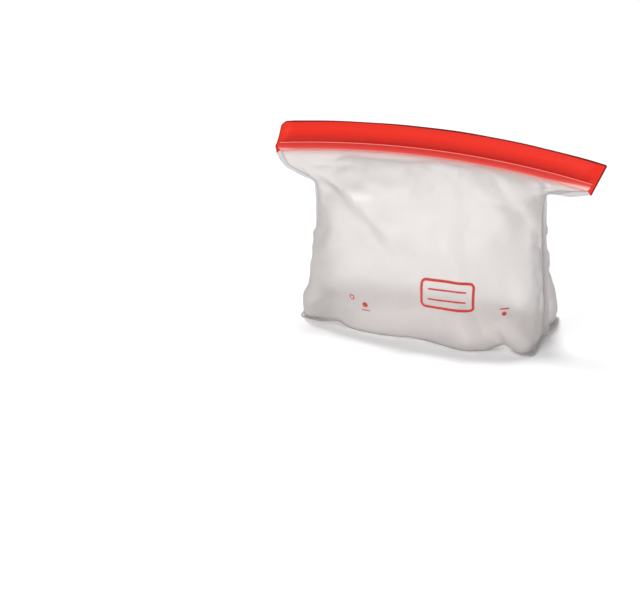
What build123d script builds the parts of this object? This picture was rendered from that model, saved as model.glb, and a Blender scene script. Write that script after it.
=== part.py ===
from build123d import *
from collections import namedtuple
import math
import os

# Reusable zip-top food bag, standing on its opened bottom gusset with the
# press zip closed.  Millimetres.  +X runs along the zip, -Y is the front,
# +Z is up, and the origin is the middle of the footprint on the floor.
#
# The films are cut flat and cannot stretch, so every level of a panel keeps
# close to one girth: wide and flat at the zip, narrower and deep below it.

LEFT, RIGHT = -1, 1     # directions along X
FRONT, BACK = -1, 1     # directions along Y

# ---------------------------------------------------------------- dimensions
FILM_T = 0.5            # frosted film

# Zip line: the lower edge of the closed strips
ZIP_LEN = 210.0         # length of both zip strips, which is the flat width
ZIP_MID = Vector(1.4, 2.7, 110.7)
LEAN = 10.0             # the strips lean back by this many degrees
ROLL = 2.0              # right end of the zip hangs this many degrees low
YAW = 3.3               # right end of the zip is turned this far back
SAG = 9.8               # the middle of the zip stands this far back and up
SAG_TILT = 38.7         # direction of that offset above the horizontal

# Zip strips
STRIP_H = 19.0          # full height of a strip, flange included
STRIP_GAP = 0.10        # half the gap between the closed strips
FLANGE_H = 4.9          # lower flange, covered by the edge of the film
FLANGE_T = 0.70         # web under the film
LIP_T = 1.15            # web at the grip lip
TRACK_T = 2.15          # web over the press tracks
TRACKS = (8.9, 12.9)    # heights of the two press tracks
RIB_W, RIB_H, RIB_CHAMFER = 1.10, 1.20, 0.3     # male rib
CHANNEL_W, CHANNEL_D = 1.40, 1.35               # female channel

# Outer side of a strip's web: thickness, height above the flange's lower edge
WEB = [
    (0.30, 0.0), (FLANGE_T, 1.4), (FLANGE_T, FLANGE_H + 1.1), (1.10, 6.7),
    (1.78, 7.6), (2.06, 8.6), (TRACK_T, 9.8), (TRACK_T, 12.0), (2.00, 13.4),
    (1.68, 15.0), (1.38, 16.6), (LIP_T, STRIP_H - 0.7),
    (LIP_T - 0.25, STRIP_H - 0.2), (LIP_T - 0.6, STRIP_H),
]

# Film edge over the flange: distance from the strip's closing face, height
ZIP_SEAM = [
    (0.32, 0.05), (FLANGE_T + 0.12, 0.05), (FLANGE_T + FILM_T, 1.5),
    (FLANGE_T + FILM_T, FLANGE_H), (FLANGE_T - 0.05, FLANGE_H), (FLANGE_T - 0.05, 1.5),
]

# Crushed ends of the zip
END_WELD_L = 5.0        # length along the zip
END_WELD_T = 1.25       # half thickness
END_SLANT = 16.0        # both ends are trimmed at this many degrees
END_CLEAR = 0.25        # strip to end weld

# Front half of an end weld: distance from the middle, height
END_WELD = [
    (END_WELD_T - 0.5, 0.0), (END_WELD_T, 0.6),
    (END_WELD_T, STRIP_H - 0.9), (END_WELD_T - 0.6, STRIP_H - 0.1),
]

# Side welds
SEAM_W = 4.0            # width outside the panel's edge
SEAM_LAP = 0.5          # further width, lapping over the panel
SEAM_T = 0.95           # two films fused
NOTCH_X, NOTCH_Z = 79.0, 4.5        # the gusset fold meets the side weld here

# Footprint
EAR_X, EAR_Y = 80.0, 27.0           # corners
FOOT_BULGE = {FRONT: 6.0, BACK: 4.5}
HEM_W, HEM_T = 2.6, 0.95            # welded lip along a panel's lower edge
HEM_LAP = 0.04                      # hem into the panel
HEM_Z = 0.05

# Bottom gusset
GUSSET_FLAT = 50.0      # the gusset lies on the floor within this half width
GUSSET_STATIONS = [GUSSET_FLAT, 56.0, 62.0, 68.0, 74.0, NOTCH_X]
GUSSET_INSET = 0.05     # gusset edge inside the panel
FOLD_MIN = 0.02         # rise of the fold line where the flat part ends
FOLD_DROP = 1.3         # the fold line's added rise stops this far short of the notch height
FOLD_THICKEN = 1.05     # film thickness factor on the fold line

# Panels
PANEL_FOOT_Z = 0.1
PANEL_REACH = ZIP_LEN / 2 - SEAM_W - 0.6    # half width at the zip
PANEL_TOP = {FRONT: 0.35, BACK: -1.25}      # height of the upper edge on the strip
PANEL_TOP_GAP = STRIP_GAP + 0.35            # film to closing plane at that edge
PANEL_WELD_GAP = 0.03                       # film to chord at the side welds

# Levels of the two panels above the notch.  Each lies in a plane through its
# two points on the side welds, leaning back by tilt.  The films swell from
# the chord by the two bulges, and the chord itself bows back by sag.
# Power and edge shape the swell: 1 - |r|^power, raised to edge.
Level = namedtuple("Level", "left right tilt sag front_bulge back_bulge power edge")
LEVELS = [
    Level((-NOTCH_X, 0.0, NOTCH_Z), (NOTCH_X, 0.0, NOTCH_Z), 0.0, 0.0, 35.0, 33.0, 7.0, 0.15),
    Level((-78.0, 0.0, 18.0), (78.0, 0.0, 18.0), 0.0, 0.2, 38.0, 36.0, 4.6, 0.25),
    Level((-77.0, -0.5, 40.0), (76.5, 0.5, 40.0), 2.0, 0.6, 39.5, 38.5, 3.5, 0.36),
    Level((-76.2, -1.0, 60.0), (75.4, 1.0, 62.0), 6.0, 1.6, 36.5, 36.5, 3.0, 0.46),
    Level((-75.5, -2.0, 75.0), (74.6, 1.0, 81.0), 13.0, 3.0, 28.5, 29.0, 2.8, 0.60),
    Level((-77.5, -4.0, 86.0), (76.6, 1.4, 94.0), 22.0, 5.0, 19.5, 20.0, 2.8, 0.80),
    Level((-85.0, -6.5, 93.6), (84.0, 1.5, 99.0), 30.0, 6.8, 11.5, 10.0, 2.8, 1.00),
    Level((-94.5, -9.0, 99.8), (93.5, 1.3, 100.4), 35.0, 8.0, 5.2, 2.6, 3.4, 1.10),
]

CURVE_SPANS = 20        # spans between the points of each film spline
SWELL_SAMPLES = 240     # finer sampling, before even spacing
FOOT_SAMPLES = 120


def sin(deg):
    return math.sin(math.radians(deg))


def cos(deg):
    return math.cos(math.radians(deg))


# ------------------------------------------------------------- zip line frame
# The zip line is an arc in the plane of x_zip and sag_dir, and both strips
# are bodies of revolution about that arc's own axis.
def yawed(x, y, z):
    return Vector(x * cos(YAW) - y * sin(YAW), x * sin(YAW) + y * cos(YAW), z)


x_zip = yawed(cos(ROLL), 0, -sin(ROLL))
up_zip = yawed(cos(LEAN) * sin(ROLL), sin(LEAN), cos(LEAN) * cos(ROLL))
out_zip = yawed(sin(LEAN) * sin(ROLL), -cos(LEAN), sin(LEAN) * cos(ROLL))
sag_dir = yawed(sin(SAG_TILT) * sin(ROLL), cos(SAG_TILT), sin(SAG_TILT) * cos(ROLL))
arc_normal = x_zip.cross(sag_dir)

ZIP_R = ((ZIP_LEN / 2) ** 2 + SAG**2) / (2 * SAG)
ZIP_HALF_ANGLE = math.degrees(math.asin(ZIP_LEN / 2 / ZIP_R))
SPARE_ANGLE = 1.6       # swept this much past each end, then trimmed at a slant
WELD_ANGLE = 2.2        # an end weld is swept from this far inside the end
SWEEP_ANGLE = ZIP_HALF_ANGLE + SPARE_ANGLE
SKEW = abs(out_zip.dot(sag_dir))    # strip thickness seen in the arc's plane
zip_axis = Axis(tuple(ZIP_MID - sag_dir * ZIP_R), tuple(arc_normal))


def turned(vector, angle):
    return vector.rotate(Axis((0, 0, 0), zip_axis.direction), angle)


def zip_point(angle):
    """Point of the zip line at an angle from its middle, positive to +X."""
    return zip_axis.position + turned(sag_dir * ZIP_R, -angle)


def zip_plane(angle):
    """Profile plane of a strip: first axis out of the front, second up."""
    return Plane(
        origin=zip_point(angle),
        x_dir=turned(out_zip, -angle),
        z_dir=turned(x_zip * -1, -angle),
    )


def end_plane(side, inset):
    """Slanted cut across the zip, inset along the zip from its end."""
    angle = side * (ZIP_HALF_ANGLE - math.degrees(inset / ZIP_R))
    normal = turned(x_zip, -angle)
    rise = turned(up_zip, -angle)
    return Plane(
        origin=zip_point(angle),
        x_dir=turned(out_zip, -angle),
        z_dir=normal * cos(END_SLANT) - rise * sin(END_SLANT),
    )


def kept(side, outer=False):
    """Half to keep at an end plane: toward the middle, or the outer one."""
    return Keep.BOTTOM if (side == RIGHT) != outer else Keep.TOP


def arc_level(height):
    """Plane of the zip arc, moved up the strips."""
    return Plane(origin=ZIP_MID + up_zip * height, x_dir=x_zip, z_dir=arc_normal)


def arc_dip(x):
    """Offset of the zip arc from its middle, in the arc's plane."""
    return -(ZIP_R - math.sqrt(ZIP_R**2 - x * x))


# ---------------------------------------------------------------- zip pieces
def strip_outline(side):
    """Strip profile.  Ribs stand out of the front strip's closing face, and
    channels are sunk in the back strip's."""
    out = -side     # the profile's first axis points to the front
    face = out * STRIP_GAP
    points = [(out * (STRIP_GAP + thickness), height) for thickness, height in WEB]
    points.append((face, STRIP_H - 0.3))
    for track in reversed(TRACKS):
        if side == FRONT:
            half = RIB_W / 2
            tip = face - RIB_H
            shoulder = tip + RIB_CHAMFER
            points += [
                (face, track + half), (shoulder, track + half),
                (tip, track + half - RIB_CHAMFER), (tip, track - half + RIB_CHAMFER),
                (shoulder, track - half), (face, track - half),
            ]
        else:
            half = CHANNEL_W / 2
            bottom = face - CHANNEL_D
            points += [
                (face, track + half), (bottom, track + half),
                (bottom, track - half), (face, track - half),
            ]
    points.append((face, 0.0))
    return points


def zip_seam_outline(side):
    """Edge of a film, welded over the flange."""
    return [(-side * (STRIP_GAP + offset), height) for offset, height in ZIP_SEAM]


def along_zip(outline):
    """Profile swept along the zip and trimmed clear of both end welds."""
    with BuildPart() as swept:
        with BuildSketch(zip_plane(SWEEP_ANGLE)):
            with BuildLine():
                Polyline(*outline, close=True)
            make_face()
        revolve(axis=zip_axis, revolution_arc=2 * SWEEP_ANGLE)
        for end in (LEFT, RIGHT):
            split(bisect_by=end_plane(end, END_WELD_L + END_CLEAR), keep=kept(end))
    return swept.part


def zip_end_weld(side):
    """Crushed end of the zip."""
    # The sweep runs toward -X
    start = SWEEP_ANGLE if side == RIGHT else WELD_ANGLE - ZIP_HALF_ANGLE
    with BuildPart() as weld:
        with BuildSketch(zip_plane(start)):
            with BuildLine():
                mirrored = [(-x, y) for x, y in reversed(END_WELD)]
                Polyline(*END_WELD, *mirrored, close=True)
            make_face()
        revolve(axis=zip_axis, revolution_arc=SPARE_ANGLE + WELD_ANGLE)
        split(bisect_by=end_plane(side, 0.0), keep=kept(side))
        split(bisect_by=end_plane(side, END_WELD_L), keep=kept(side, outer=True))
    return weld.part


# --------------------------------------------------------------- film curves
def half_width(level):
    return (Vector(*level.right) - Vector(*level.left)).length / 2


def level_plane(level):
    left, right = Vector(*level.left), Vector(*level.right)
    x_dir = (right - left).normalized()
    lean = Vector(0, cos(level.tilt), sin(level.tilt))
    y_dir = (lean - x_dir * lean.dot(x_dir)).normalized()
    return Plane(origin=(left + right) * 0.5, x_dir=x_dir, z_dir=x_dir.cross(y_dir))


def resampled(points):
    """The same curve with its points evenly spaced along it."""
    run = [0.0]
    for (x0, y0), (x1, y1) in zip(points, points[1:]):
        run.append(run[-1] + math.hypot(x1 - x0, y1 - y0))
    spaced, k = [], 0
    for i in range(CURVE_SPANS + 1):
        want = run[-1] * i / CURVE_SPANS
        while k < len(points) - 2 and run[k + 1] < want:
            k += 1
        t = (want - run[k]) / max(1e-9, run[k + 1] - run[k])
        x0, y0 = points[k]
        x1, y1 = points[k + 1]
        spaced.append((x0 + (x1 - x0) * t, y0 + (y1 - y0) * t))
    return spaced


def offset_curve(points, distance):
    """Curve moved sideways, toward +Y where it runs along +X."""
    moved = []
    for i, (x, y) in enumerate(points):
        x0, y0 = points[max(0, i - 1)]
        x1, y1 = points[min(len(points) - 1, i + 1)]
        length = math.hypot(x1 - x0, y1 - y0)
        moved.append((x - (y1 - y0) / length * distance, y + (x1 - x0) / length * distance))
    return moved


def ribbon(first, second):
    """Closed outline between two curves, for the calling BuildLine."""
    Spline(*first)
    Line(first[-1], second[-1])
    Spline(*second)
    Line(second[0], first[0])


def band(points, side, inner, outer):
    """Ribbon between two distances on the outer side of a curve."""
    ribbon(offset_curve(points, side * inner), offset_curve(points, side * outer))


def swell(level, side):
    """A panel's section, from the left weld to the right weld."""
    half = half_width(level)
    bulge = level.front_bulge if side == FRONT else level.back_bulge
    points = []
    for i in range(SWELL_SAMPLES + 1):
        r = math.cos(math.pi * (1.0 - i / SWELL_SAMPLES))
        depth = PANEL_WELD_GAP + bulge * max(0.0, 1.0 - abs(r) ** level.power) ** level.edge
        points.append((r * half, level.sag * (1.0 - r * r) + side * depth))
    return resampled(points)


def foot_y(x, side):
    return side * (EAR_Y + FOOT_BULGE[side] * (1.0 - abs(x / EAR_X) ** 3.0))


def foot(side):
    """Lower edge of a panel on the floor, ear to ear."""
    xs = [EAR_X * (-1.0 + 2.0 * i / FOOT_SAMPLES) for i in range(FOOT_SAMPLES + 1)]
    return resampled([(x, foot_y(x, side)) for x in xs])


def arc_curve(side, distance):
    """Curve beside the zip arc, in the arc's plane."""
    xs = [PANEL_REACH * (-1.0 + 2.0 * i / CURVE_SPANS) for i in range(CURVE_SPANS + 1)]
    return [(x, arc_dip(x) + side * distance / SKEW) for x in xs]


# --------------------------------------------------------------- film pieces
def film_panel(side):
    with BuildPart() as panel:
        # lower band, from the floor to the notch
        with BuildSketch(Plane.XY.offset(PANEL_FOOT_Z)):
            with BuildLine():
                band(foot(side), side, 0.0, FILM_T)
            make_face()
        with BuildSketch(level_plane(LEVELS[0])):
            with BuildLine():
                band(swell(LEVELS[0], side), side, 0.0, FILM_T)
            make_face()
        loft(ruled=True)
        # body, shoulder and neck, up to the flange
        for level in LEVELS:
            with BuildSketch(level_plane(level)):
                with BuildLine():
                    band(swell(level, side), side, 0.0, FILM_T)
                make_face()
        with BuildSketch(arc_level(PANEL_TOP[side])):
            with BuildLine():
                ribbon(
                    arc_curve(side, PANEL_TOP_GAP),
                    arc_curve(side, PANEL_TOP_GAP + FILM_T),
                )
            make_face()
        loft(ruled=True)
    return panel.part


def gusset_rise(x):
    """Height of the gusset's fold line above its edges, outside the flat part."""
    t = (x - GUSSET_FLAT) / (NOTCH_X - GUSSET_FLAT)
    return FOLD_MIN + (NOTCH_Z - FOLD_DROP) * t**1.5


def gusset_edge(x, side):
    return foot_y(x, side) - side * GUSSET_INSET


def gusset():
    with BuildPart() as sheet:
        # folded part toward each side weld
        for end in (LEFT, RIGHT):
            for x in GUSSET_STATIONS:
                rise = gusset_rise(x)
                front, back = gusset_edge(x, FRONT), gusset_edge(x, BACK)
                with BuildSketch(Plane(origin=(end * x, 0, 0), x_dir=(0, 1, 0), z_dir=(1, 0, 0))):
                    with BuildLine():
                        Polyline(
                            (front, 0),
                            (0, rise),
                            (back, 0),
                            (back, FILM_T),
                            (0, rise + FILM_T * FOLD_THICKEN),
                            (front, FILM_T),
                            close=True,
                        )
                    make_face()
            loft(ruled=True)
        # flat part on the floor
        with BuildSketch(Plane.XY):
            with BuildLine():
                xs = [GUSSET_FLAT * (-1.0 + i / 8) for i in range(17)]
                ribbon(
                    [(x, gusset_edge(x, FRONT)) for x in xs],
                    [(x, gusset_edge(x, BACK)) for x in xs],
                )
            make_face()
        extrude(amount=FILM_T)
    return sheet.part


def base_seam(side):
    """Hem weld along the lower edge of a panel."""
    with BuildPart() as hem:
        with BuildSketch(Plane.XY.offset(HEM_Z)):
            with BuildLine():
                band(foot(side), side, FILM_T - HEM_LAP, FILM_T + HEM_W)
            make_face()
        extrude(amount=HEM_T)
    return hem.part


def side_seam(end):
    width = SEAM_W + SEAM_LAP
    shift = (SEAM_W - SEAM_LAP) / 2     # panel edge to the middle of the weld
    with BuildPart() as seam:
        # stem: from the notch up to the zip, both films fused face to face
        for level in LEVELS:
            with BuildSketch(level_plane(level)):
                with Locations((end * (half_width(level) + shift), 0)):
                    Rectangle(width, SEAM_T)
        top_x = PANEL_REACH + SEAM_W / 2
        with BuildSketch(arc_level(-0.5)):
            with Locations((end * top_x, arc_dip(top_x))):
                Rectangle(width, SEAM_T / SKEW)
        loft(ruled=True)
        # legs: below the notch each panel is welded to its half of the gusset
        for side in (FRONT, BACK):
            top = Vector(end * NOTCH_X, side * 0.1, NOTCH_Z)
            bottom = Vector(end * EAR_X, side * (EAR_Y + 0.3), 0.55)
            along = (bottom - top).normalized()
            for point in (top, bottom):
                with BuildSketch(Plane(origin=point, x_dir=(1, 0, 0), z_dir=along)):
                    with Locations((end * shift, 0)):
                        Rectangle(width, SEAM_T)
            loft(ruled=True)
    return seam.part


# ------------------------------------------------------------------- export
def save(name, part):
    part.label = name
    export_step(part, "parts/" + name + ".step")


os.makedirs("parts", exist_ok=True)
save("bottom_gusset", gusset())
for word, side in (("front", FRONT), ("back", BACK)):
    save(word + "_zip_strip", along_zip(strip_outline(side)))
    save(word + "_zip_seam", along_zip(zip_seam_outline(side)))
    save(word + "_panel", film_panel(side))
    save(word + "_base_seam", base_seam(side))
for word, end in (("left", LEFT), ("right", RIGHT)):
    save(word + "_zip_end_weld", zip_end_weld(end))
    save(word + "_side_seam", side_seam(end))
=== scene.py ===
# A stand-up bag of frosted film with a red silicone zip along its mouth.
# It stands on the floor z = 0 with its width along x, its front towards -y and its zip on top.
# Lengths are in millimetres and angles in degrees unless noted; meshes are made in metres.
from math import asin, cos, hypot, pi, radians, sin, sqrt, tan

import bmesh
import bpy
import numpy as np
from mathutils import Matrix, Vector
from mathutils.bvhtree import BVHTree


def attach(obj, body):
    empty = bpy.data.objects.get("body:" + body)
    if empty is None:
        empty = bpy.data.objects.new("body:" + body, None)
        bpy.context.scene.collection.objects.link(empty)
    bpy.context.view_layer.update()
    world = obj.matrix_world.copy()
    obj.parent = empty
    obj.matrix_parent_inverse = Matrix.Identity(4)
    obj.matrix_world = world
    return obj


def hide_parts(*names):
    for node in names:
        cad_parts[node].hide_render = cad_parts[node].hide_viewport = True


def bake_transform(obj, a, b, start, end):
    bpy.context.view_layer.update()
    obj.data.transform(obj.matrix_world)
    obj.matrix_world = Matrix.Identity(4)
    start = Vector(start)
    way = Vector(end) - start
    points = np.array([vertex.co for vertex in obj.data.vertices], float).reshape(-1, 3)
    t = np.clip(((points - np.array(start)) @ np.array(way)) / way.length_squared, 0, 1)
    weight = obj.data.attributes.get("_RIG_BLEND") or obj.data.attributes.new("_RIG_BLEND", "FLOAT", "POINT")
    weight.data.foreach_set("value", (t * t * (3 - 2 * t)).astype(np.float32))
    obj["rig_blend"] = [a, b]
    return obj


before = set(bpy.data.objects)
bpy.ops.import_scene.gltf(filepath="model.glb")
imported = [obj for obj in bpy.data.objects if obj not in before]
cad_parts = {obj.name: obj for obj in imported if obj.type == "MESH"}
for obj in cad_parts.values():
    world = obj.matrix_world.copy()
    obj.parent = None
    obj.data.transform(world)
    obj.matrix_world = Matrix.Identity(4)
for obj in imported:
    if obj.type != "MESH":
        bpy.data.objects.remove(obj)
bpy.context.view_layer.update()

MM = 0.001
FRONT, BACK = -1, 1     # sign of y of the two sides
LEFT, RIGHT = -1, 1     # sign of x of the two ends

# --------------------------------------------------------------------------
# sizes
# --------------------------------------------------------------------------
FILM_THICK = 0.42
ZIP_LENGTH = 210.0      # chord of the bowed zip
ZIP_MID = np.array([1.4, 2.7, 110.7])
LEAN, ROLL, YAW = 10.0, 2.0, 3.3
SAG, SAG_TILT = 9.8, 38.7           # rise of the zip's arc, and its direction above +y
STRIP_HEIGHT, STRIP_GAP = 19.0, 0.10    # the gap is from the closing plane to each strip
FLANGE_HEIGHT, FLANGE_THICK = 4.9, 0.70
END_WELD_LENGTH, END_SLANT = 5.0, 16.0
END_REACH = 13.0        # how far the shape of a zip end is felt along the zip
EAR_X, EAR_Y = 80.0, 27.0       # corners of the base
NOTCH_Z = 2.2           # where the front and back edges meet above the base corners
SEAM_WIDTH = 4.0
FOOT_Z = 0.25           # middle of the film where it stands on the floor
FOOT_BULGE = {FRONT: 6.0, BACK: 4.5}
FOOT_DEPTH = 5.0        # length of film from the floor to the notch

# Levels of the bag from the notch up: left weld x, y, z; right weld x, y, z;
# tilt and amount of the sag; front and back bulge; power and edge exponents of the bulge.
LEVELS = [
    (-78.6, 0.0, NOTCH_Z, 78.0, 0.0, NOTCH_Z, 0.0, 0.0, 35.0, 33.0, 7.0, 0.15),
    (-78.0, 0.0, 18.0, 78.0, 0.0, 18.0, 0.0, 0.2, 38.0, 36.0, 4.6, 0.25),
    (-77.0, -0.5, 40.0, 76.5, 0.5, 40.0, 2.0, 0.6, 39.5, 38.5, 3.5, 0.36),
    (-76.2, -1.0, 60.0, 75.4, 1.0, 62.0, 6.0, 1.6, 36.5, 36.5, 3.0, 0.46),
    (-75.5, -2.0, 75.0, 74.8, 1.0, 82.0, 13.0, 3.0, 28.5, 29.0, 2.8, 0.60),
    (-76.4, -4.0, 87.2, 76.4, 1.4, 96.0, 22.0, 5.0, 19.5, 20.0, 2.8, 0.80),
    (-85.0, -6.5, 93.6, 84.0, 1.5, 99.5, 30.0, 6.8, 11.5, 10.0, 2.8, 1.00),
    (-94.5, -9.0, 99.8, 93.5, 1.3, 100.4, 35.0, 8.0, 5.2, 2.6, 3.4, 1.10),
]

# Rows and columns of the film grids
COLS = 220
FOOT_ROWS = 7
BODY_ROWS = 68
FLANGE_ROWS = (0.5, 1.3, 2.2, 3.2, 4.2, FLANGE_HEIGHT + 0.22, FLANGE_HEIGHT + 0.5)  # up the strip


# --------------------------------------------------------------------------
# small shapes of curves
# --------------------------------------------------------------------------
def smooth(t):
    """Smooth step from 0 at t = 0 to 1 at t = 1."""
    t = np.clip(t, 0, 1)
    return t * t * (3 - 2 * t)


def bell(x, centre, width):
    return np.exp(-(((x - centre) / width) ** 2))


def unit(v):
    return v / np.maximum(np.linalg.norm(v, axis=-1, keepdims=True), 1e-9)


def run_length(points):
    """Length travelled along a path at each of its points."""
    steps = np.linalg.norm(np.diff(points, axis=0), axis=1)
    return np.concatenate([[0], np.cumsum(steps)])


def even_steps(across, depth, count):
    """count + 1 points evenly spaced along a flat curve."""
    run = np.concatenate([[0], np.cumsum(np.hypot(np.diff(across), np.diff(depth)))])
    want = np.linspace(0, run[-1], count + 1)
    return np.interp(want, run, across), np.interp(want, run, depth)


def pchip(stations, values, x):
    """Smooth interpolation of rows of values without overshoot."""
    step = np.diff(stations)
    slope = np.diff(values, axis=0) / step[:, None]
    tangent = np.zeros_like(values)
    for i in range(1, len(stations) - 1):
        w1 = 2 * step[i] + step[i - 1]
        w2 = step[i] + 2 * step[i - 1]
        same_way = slope[i - 1] * slope[i] > 0
        before = np.where(same_way, slope[i - 1], 1)
        after = np.where(same_way, slope[i], 1)
        tangent[i] = np.where(same_way, (w1 + w2) / (w1 / before + w2 / after), 0)
    tangent[0], tangent[-1] = slope[0], slope[-1]
    k = np.clip(np.searchsorted(stations, x) - 1, 0, len(stations) - 2)
    t = ((x - stations[k]) / step[k])[:, None]
    span = step[k][:, None]
    return (
        values[k] * (1 + 2 * t) * (1 - t) ** 2
        + span * tangent[k] * t * (1 - t) ** 2
        + values[k + 1] * t * t * (3 - 2 * t)
        + span * tangent[k + 1] * t * t * (t - 1)
    )


def cubic_resample(values, at):
    """Catmull-Rom resampling along the first axis at fractional indices."""
    n = len(values)
    i = np.clip(np.floor(at).astype(int), 0, n - 2)
    f = (at - i).reshape((-1,) + (1,) * (values.ndim - 1))
    p0, p1 = values[np.maximum(i - 1, 0)], values[i]
    p2, p3 = values[i + 1], values[np.minimum(i + 2, n - 1)]
    return 0.5 * (
        2 * p1
        + (p2 - p0) * f
        + (2 * p0 - 5 * p1 + 4 * p2 - p3) * f**2
        + (3 * p1 - p0 - 3 * p2 + p3) * f**3
    )


def noise3(points, scale, seed):
    """Smooth repeatable noise about -1..1 at points, with features about scale mm."""
    rng = np.random.RandomState(seed)
    total = np.zeros(points.shape[:-1])
    for _ in range(14):
        direction = rng.normal(size=3)
        direction /= np.linalg.norm(direction)
        frequency = 2 * np.pi / (scale * rng.uniform(0.75, 1.9))
        total += np.sin(points @ direction * frequency + rng.uniform(0, 6.28))
    return total / 3.2


# --------------------------------------------------------------------------
# the zip line, an arc between the two ends of the zip
# --------------------------------------------------------------------------
def yawed(x, y, z):
    c, s = cos(radians(YAW)), sin(radians(YAW))
    return np.array([x * c - y * s, x * s + y * c, z])


def rolled(y, height):
    """Direction with parts y and height, turned by the zip's roll and yaw."""
    return yawed(height * sin(radians(ROLL)), y, height * cos(radians(ROLL)))


ZIP_ALONG = yawed(cos(radians(ROLL)), 0, -sin(radians(ROLL)))
ZIP_UP = rolled(sin(radians(LEAN)), cos(radians(LEAN)))
ZIP_OUT = rolled(-cos(radians(LEAN)), sin(radians(LEAN)))       # towards the front
SAG_WAY = rolled(cos(radians(SAG_TILT)), sin(radians(SAG_TILT)))
ARC_AXIS = np.cross(ZIP_ALONG, SAG_WAY)
ARC_AXIS /= np.linalg.norm(ARC_AXIS)
ARC_RADIUS = ((ZIP_LENGTH / 2) ** 2 + SAG**2) / (2 * SAG)
ARC_HALF = ARC_RADIUS * asin(ZIP_LENGTH / 2 / ARC_RADIUS)       # half length along the arc
ARC_CENTRE = ZIP_MID - SAG_WAY * ARC_RADIUS


def spin(v, angle):
    """Vector v turned about the arc's axis by one or more angles in radians."""
    angle = angle[..., None]
    return (
        v * np.cos(angle)
        + np.cross(ARC_AXIS, v) * np.sin(angle)
        + ARC_AXIS * (v @ ARC_AXIS) * (1 - np.cos(angle))
    )


def zip_point(s, out, up):
    """Point at arc length s from the zip's middle, out to the front and up the strip."""
    angle = -np.asarray(s, float) / ARC_RADIUS
    out = np.asarray(out, float)[..., None]
    up = np.asarray(up, float)[..., None]
    origin = ARC_CENTRE + spin(SAG_WAY * ARC_RADIUS, angle)
    return origin + spin(ZIP_OUT, angle) * out + spin(ZIP_UP, angle) * up


def end_outline(end, up):
    """How far a zip end is shifted outwards from the plain slanted cut at a height."""
    if end == LEFT:
        radius = 3.9
        shift = -1.75 + 1.0 * bell(up, 2.4, 3.0) - 0.95 * smooth((3.6 - up) / 4)
    else:
        radius = 1.3
        shift = -0.65 - 0.045 * up
    arc = np.sqrt(np.maximum(radius * radius - (up - STRIP_HEIGHT + radius) ** 2, 0.0))
    return shift - np.where(up > STRIP_HEIGHT - radius, radius - arc, 0)


def slanted(s, up, from_left, from_right):
    """Arc length s moved by the slant and by the outlines of the two ends."""
    left = np.clip(1 - from_left / END_REACH, 0, 1)
    right = np.clip(1 - from_right / END_REACH, 0, 1)
    moved = s + up * tan(radians(END_SLANT))
    return moved - left * end_outline(LEFT, up) + right * end_outline(RIGHT, up)


# --------------------------------------------------------------------------
# sections of the two films
# --------------------------------------------------------------------------
MOUTH_HALF = ZIP_LENGTH / 2 - SEAM_WIDTH - 0.6      # half width of the film at the zip
MOUTH_UP = -0.3                                     # the body ends just below the strip


def mouth_level():
    """The level under the zip, with the columns of LEVELS."""
    left, middle, right = (
        zip_point(s, 0.0, MOUTH_UP) for s in (-MOUTH_HALF, 0.0, MOUTH_HALF)
    )
    sag = np.linalg.norm(middle - (left + right) / 2)
    return (*left, *right, SAG_TILT, sag, 1.2, 1.2, 9.0, 0.5)


def level_heights(levels):
    """Running length up the film at each level, longer where the bulge changes."""
    middle = (levels[:, 0:3] + levels[:, 3:6]) / 2
    rise = np.linalg.norm(np.diff(middle, axis=0), axis=1)
    return np.concatenate([[0], np.cumsum(rise + 0.4 * np.abs(np.diff(levels[:, 8])))])


ALL_LEVELS = np.array([*LEVELS, mouth_level()])
LEVEL_AT = level_heights(ALL_LEVELS)
FILM_TOP = LEVEL_AT[-1]
BODY_AT = np.linspace(0, FILM_TOP, BODY_ROWS)
BODY_LEVELS = pchip(LEVEL_AT, ALL_LEVELS, BODY_AT)
FOOT_STEPS = np.linspace(0, 1, FOOT_ROWS + 1)[:-1]

# Height along the film of each grid row, and place along the zip of each column
HEIGHTS = np.concatenate(
    [-FOOT_DEPTH * (1 - FOOT_STEPS), BODY_AT, FILM_TOP + np.array(FLANGE_ROWS)]
)
ALONG = np.linspace(-1, 1, COLS + 1) * MOUTH_HALF


def section(level, side):
    """Points of one level of a film, evenly spaced from weld to weld."""
    left, right, tilt, sag = level[0:3], level[3:6], level[6], level[7]
    bulge = level[8] if side == FRONT else level[9]
    power, edge = level[10], level[11]
    across = right - left
    half = np.linalg.norm(across) / 2
    across = across / (2 * half)
    lean = np.array([0, cos(radians(tilt)), sin(radians(tilt))])
    depth = lean - across * (lean @ across)
    depth /= np.linalg.norm(depth)
    k = np.cos(np.pi * (1 - np.linspace(0, 1, 481)))
    puff = 0.02 + bulge * np.maximum(0.0, 1 - np.abs(k) ** power) ** edge
    px, py = even_steps(k * half, sag * (1 - k * k) + side * puff, COLS)
    return (left + right) / 2 + px[:, None] * across + py[:, None] * depth


def foot(side, count):
    """Plain base edge of a film on the floor."""
    k = np.linspace(-1, 1, 241)
    bowed = side * (EAR_Y + FOOT_BULGE[side] * (1 - np.abs(k) ** 3))
    px, py = even_steps(k * EAR_X, bowed, count)
    return np.stack([px, py, np.full(count + 1, FOOT_Z)], -1)


# Buckles of the base edges: size, centre x, width and power of each. A buckle's size is
# its shift along y in the first table and its lift in the second.
FOOT_SWAY = {
    FRONT: [
        (-5.6, 35, 15, 2), (4.6, 60, 7.0, 2), (-1.6, -28, 15, 2), (3.2, -54, 9, 2),
        (1.2, 0, 10, 2),
    ],
    BACK: [(1.6, 20, 14, 2), (-3.4, -50, 9, 2), (-2.6, 46, 9, 2), (0.8, -18, 10, 2)],
}
FOOT_LIFT = {
    FRONT: [(2.9, 60, 6.5, 1.6), (1.9, -53, 8, 2), (0.5, 2, 8, 2)],
    BACK: [(2.2, -49, 8, 2), (1.7, 47, 8, 2)],
}


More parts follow.
